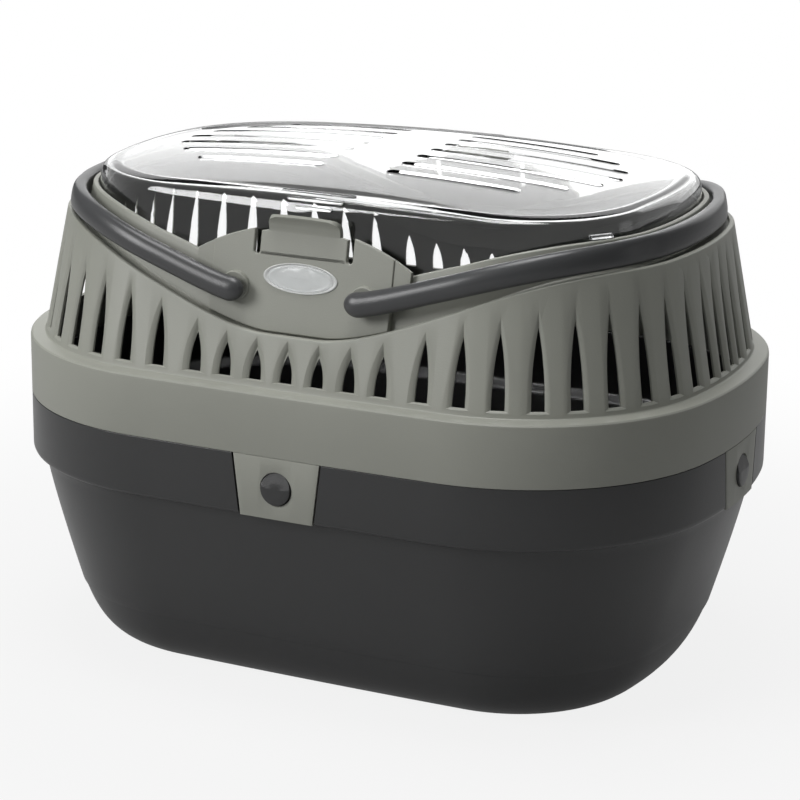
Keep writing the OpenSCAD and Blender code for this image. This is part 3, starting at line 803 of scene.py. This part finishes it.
heads = np.concatenate([5.9 * np.cos(np.linspace(0.06, pi / 2, 9)), -np.linspace(3, ARM_LONG, 12)])
scale = np.concatenate([np.sin(np.arccos(np.clip(heads[:9] / HEAD_LONG, -1, 1))), np.ones(12)])
arm_turns = np.degrees(np.arccos((PIVOT_X - heads) / (SIDE_RADIUS - 14)))
more = np.concatenate([np.linspace(SIDE_TURN, END_TURN, 34, endpoint=False), np.linspace(END_TURN, 0, 7)])
half_turns = np.concatenate([arm_turns, more[more < arm_turns[-1] - 0.02]])
half_scale = np.concatenate([scale, np.ones(len(half_turns) - len(scale))])
bar_turns = np.concatenate([half_turns, -half_turns[-2::-1]])
bar_scale = np.concatenate([half_scale, half_scale[-2::-1]])
around = circle(28)
for mirror, side in ((1, "right"), (-1, "left")):
    rings = []
    for q, f in zip(bar_turns, bar_scale):
        x = abs(plan(q, 13.0)[0])
        z = float(bar_z(x))
        share = float(bar_share(x))
        p = plan(q, wall_in(z) + BAR_IN + BAR_DRIFT * share + BOW_IN * share ** 8)
        squareness = 1 - 0.5 * share ** 4
        wide = BAR_WIDE + (BOW_WIDE - BAR_WIDE) * share ** 8
        g = 0.5 * wide * f * bent(np.cos(around), squareness)
        h = 0.5 * BAR_HIGH * f * bent(np.sin(around), squareness)
        o = g * cos(LEAN) - h * sin(LEAN)
        a = radians(q)
        rings.append(np.column_stack([mirror * (p[0] + o * cos(a)), p[1] + o * sin(a),
                                      z + g * sin(LEAN) + h * cos(LEAN)])[::mirror])
    bar = skin("handle " + side, rings, sharp=50)
    arm_y = HALF_WIDTH - wall_in(PIVOT_Z) - BAR_IN
    pegs = []
    for s in (1, -1):
        peg = barrel("peg", mirror * s * PIVOT_X, PEG_RADIUS, -arm_y, PLATE_Y + PLATE_THICK - 0.5, 40)
        if s < 0:
            peg.data.transform(Matrix.Rotation(pi, 4, "Z"))
        pegs.append(peg)
    for piece in [bar] + pegs:
        piece.data.materials.append(handle_plastic)
        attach(piece, "handle_" + side)
        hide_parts("handle_" + side)

# Lid
# The lid is a dome moulded in clear polystyrene that drops inside the upstand. Two groups of slots run along
# its top, three short grip ribs stand on its shoulder behind each tongue, and two small tabs reach over the
# upstand.
LID_WALL = 1.6
LID_IN = CHANNEL + UPSTAND + LID_GAP
LID_EDGE = 196.4
CROWN_Z = 208.0
BROW_IN = 37.0
DOME_IN = 46
FLAT_TOP_IN = 60
SIDE_FALL = 4.8
END_FALL = 6.4
LID_PITCH = 13.5
LID_SLOT = 2.2
LID_INNER = 14.0
LID_OUTER = 96
LID_SHORTER = 2.9
CUT_FROM = 188
CUT_TO = 220
RIB_HALF = 15.7
RIB_PLACES = ((-70.8, 201.2, RIB_HALF),
              (-73.9, 199.0, RIB_HALF * 0.77),
              (-75.3, 196.3, RIB_HALF * 0.5))
RIB_END = ((0.0, 0.35), (0.4, 0.8), (1.0, 0.9))
TAB_TURN = 324.0
TAB_IN = 1.0
TAB_OUT = 1.4
TAB_HALF = 5.0
TAB_HIGH = 1.5


def dome(p):
    """Height of the domed top over this point of the plan."""
    along = p[..., 0] / (HALF_LENGTH - BROW_IN)
    aside = p[..., 1] / (HALF_WIDTH - BROW_IN)
    return CROWN_Z - END_FALL * along ** 2 - SIDE_FALL * aside ** 2


def lid_skin(turns, wall):
    """Rings of one face of the lid, from its lower edge to the crown, set in by the wall thickness."""
    x = np.abs(plan(turns, 12)[:, 0])
    low = upstand(x) - LID_DIP
    upright = lid_out(x)
    rings = []
    for t in np.linspace(0, 1, 10):
        z = low + (LID_EDGE - low) * t
        leaning = wall_in(z) + LID_IN
        inset = np.maximum(upright, leaning) + 0.25 * np.exp(-((leaning - upright) / 0.6) ** 2)
        rings.append(np.column_stack([plan(turns, inset + wall), z]))
    start = wall_in(LID_EDGE) + LID_IN + wall
    brow_z = dome(plan(turns, BROW_IN)) - 0.5
    dome_z = dome(plan(turns, DOME_IN)) - 0.4
    for t in np.linspace(0.1, 1, 11):
        inset = cubic(t, start, start + 0.9, BROW_IN, DOME_IN)
        z = cubic(t, LID_EDGE, LID_EDGE + 4.2, brow_z, dome_z)
        rings.append(np.column_stack([plan(turns, inset), z - wall * min(1, t * 1.6)]))
    for inset, drop in ((53, 0.2), (FLAT_TOP_IN, 0.1)):
        rings.append(np.column_stack([plan(turns, inset), dome(plan(turns, inset)) - drop - wall]))
    for share in (0.84, 0.68, 0.52, 0.36, 0.2, 0.04):
        p = plan(turns, FLAT_TOP_IN) * share
        rings.append(np.column_stack([p, dome(p) - wall]))
    return rings


def lid_slot(x0, x1, y):
    """A cutter for one round-ended slot of the lid."""
    outline = []
    for at, way in ((x1, 1), (x0, -1)):
        for k in np.linspace(-pi / 2, pi / 2, 11):
            outline.append((at - way * (LID_SLOT - LID_SLOT * cos(k)), y + way * LID_SLOT * sin(k)))
    return skin("lid slot", [np.array([(x, v, z) for x, v in outline]) for z in (CUT_FROM, CUT_TO)])


lid_paint = Paint("clear lid")
cloud = lid_paint.node("ShaderNodeTexNoise", {}, {"Vector": lid_paint.place(), "Scale": 18.0, "Detail": 1.0})
slow = lid_paint.node("ShaderNodeBump", {}, {"Strength": 0.25, "Distance": 0.15 * MM, "Height": cloud})
lid_clear = lid_paint.surface(lid_paint.node("ShaderNodeBsdfPrincipled", {}, {
    "Base Color": (0.985, 0.99, 0.99, 1.0), "Roughness": 0.02, "Transmission Weight": 1.0, "IOR": 1.49,
    "Normal": slow}))
round_lid = stations(7, 26, 18)
lid = skin("lid", lid_skin(round_lid, LID_WALL)[::-1] + lid_skin(round_lid, 0.0), sharp=40)
lid.data.materials.append(lid_clear)
slots = []
for k in range(-3, 4):
    outer = LID_OUTER - LID_SHORTER * k * k
    slots.append(lid_slot(LID_INNER, outer, k * LID_PITCH))
    slots.append(lid_slot(-outer, -LID_INNER, k * LID_PITCH))
carve(lid, slots, 40)
extras = []
for s in (1, -1):
    for y, z, half in RIB_PLACES:
        angles = circle(20)
        ends = [(-half + step, r) for step, r in RIB_END]
        ends += [(half - step, r) for step, r in RIB_END[::-1]]
        rings = []
        for x, r in ends:
            rings.append(np.column_stack([np.full(20, x), s * (y + r * np.cos(angles)),
                                          z + r * np.sin(angles)])[::s])
        extras.append(skin("grip rib", rings))
for turn in (TAB_TURN, TAB_TURN - 180):
    z = float(upstand(abs(plan(360 - TAB_TURN, 12)[0]))) + LID_GAP
    root = Vector((*plan(turn, wall_in(z) + LID_IN), z)) * MM
    corners = [(x, y, h) for x in (-TAB_IN, TAB_OUT) for y in (-TAB_HALF, TAB_HALF) for h in (0.0, TAB_HIGH)]
    tab = solid("lid tab", corners, [[0, 1, 3, 2], [4, 6, 7, 5], [0, 4, 5, 1],
                                     [2, 3, 7, 6], [0, 2, 6, 4], [1, 5, 7, 3]])
    tab.data.transform(Matrix.Translation(root) @ Matrix.Rotation(radians(turn), 4, "Z"))
    extras.append(soften(tab, 0.3, 2, 30))
for piece in extras:
    piece.data.materials.append(lid_clear)
for piece in [lid] + extras:
    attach(piece, "lid")
    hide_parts("lid")

# Studio
# A plain pale floor, a white background, soft lamps and the camera at the photograph's angle. Light bent by
# the clear lid is not thrown on the matt plastic inside, so the inside stays as dark as in the photograph.
FLOOR_HALF = 4000
FLOOR_GREY = (0.4, 0.4, 0.4, 1.0)
FLOOR_GLOSS = 0.2
NEAR_GLOW = 0.86
GLOW_FROM = 0.16
GLOW_TO = 0.5
WHITE = (1.0, 1.0, 1.0, 1.0)
SKY = (0.97, 0.985, 1.0, 1.0)
SKY_DIM = 0.11
floor_paint = Paint("studio floor")
pale = floor_paint.node("ShaderNodeBsdfDiffuse", {}, {"Color": FLOOR_GREY})
glow = floor_paint.node("ShaderNodeEmission", {}, {"Color": WHITE, "Strength": 1.0})
here = floor_paint.place()
reach = floor_paint.node("ShaderNodeVectorMath", {"operation": "LENGTH"}, {0: here}, out="Value")
far = floor_paint.node("ShaderNodeMapRange", {"interpolation_type": "SMOOTHSTEP"},
                       {"Value": reach, "From Min": GLOW_FROM, "From Max": GLOW_TO,
                        "To Min": NEAR_GLOW, "To Max": 1.0})
direct = 1.0 - floor_paint.ray("Diffuse Depth").math("MINIMUM", 1.0)
rays = floor_paint.ray("Is Camera Ray") + FLOOR_GLOSS * floor_paint.ray("Is Glossy Ray")
rays = rays + floor_paint.ray("Is Transmission Ray")
mixed = floor_paint.node("ShaderNodeMixShader", {}, {0: rays * far * direct, 1: pale, 2: glow})
floor_corners = [(-FLOOR_HALF, -FLOOR_HALF, 0), (FLOOR_HALF, -FLOOR_HALF, 0),
                 (FLOOR_HALF, FLOOR_HALF, 0), (-FLOOR_HALF, FLOOR_HALF, 0)]
floor = solid("studio floor", floor_corners, [[0, 1, 2, 3]])
floor.data.materials.append(floor_paint.surface(mixed))

sky = Paint("studio", bpy.data.worlds.new("studio"))
dim = sky.node("ShaderNodeBackground", {}, {"Color": SKY, "Strength": SKY_DIM})
bright = sky.node("ShaderNodeBackground", {}, {"Color": WHITE, "Strength": 1.0})
seen = sky.ray("Is Camera Ray").math("MAXIMUM", sky.ray("Is Transmission Ray"))
seen = seen * sky.ray("Diffuse Depth").math("LESS_THAN", 0.5)
blend = sky.node("ShaderNodeMixShader", {}, {0: seen, 1: dim, 2: bright})
bpy.context.scene.world = sky.surface(blend, "ShaderNodeOutputWorld")

for name, place, aim, wide, high, power in (
        ("key", (-1.15, -1.4, 1.0), (0, 0, 0.1), 0.9, 0.9, 23.0),
        ("top", (-0.1, -0.1, 1.7), (0, 0, 0.1), 1.0, 0.8, 18.0),
        ("back", (-0.3, 1.6, 0.75), (0, 0, 0.2), 2.6, 1.2, 12.0),
        ("edge", (1.5, 0.55, 0.25), (0.1, 0, 0.08), 0.35, 0.5, 0.25)):
    lamp = bpy.data.lights.new(name, "AREA")
    lamp.shape = "RECTANGLE"
    lamp.size = wide
    lamp.size_y = high
    lamp.energy = power
    stand = bpy.data.objects.new(name, lamp)
    stand.location = place
    stand.rotation_euler = (Vector(aim) - Vector(place)).to_track_quat("-Z", "Y").to_euler()
    bpy.context.collection.objects.link(stand)

AZIMUTH = radians(25.33)
ELEVATION = radians(16.08)
ROLL = radians(0.7)
DISTANCE = 1.1042
TARGET = Vector((0, 0, 0.105))
back = Vector((sin(AZIMUTH) * cos(ELEVATION), -cos(AZIMUTH) * cos(ELEVATION), sin(ELEVATION)))
lens = bpy.data.cameras.new("camera")
lens.lens = 120.2
lens.sensor_width = 36.0
lens.shift_x = 0.00411
lens.shift_y = -0.0110
lens.clip_start = 0.05
lens.clip_end = 50.0
camera = bpy.data.objects.new("camera", lens)
camera.location = TARGET + back * DISTANCE
turned = back.to_track_quat("Z", "Y").to_matrix() @ Matrix.Rotation(ROLL, 3, "Z")
camera.rotation_euler = turned.to_euler()
bpy.context.collection.objects.link(camera)
bpy.context.scene.camera = camera
bpy.context.scene.view_settings.view_transform = "Standard"
bpy.context.scene.cycles.caustics_refractive = False
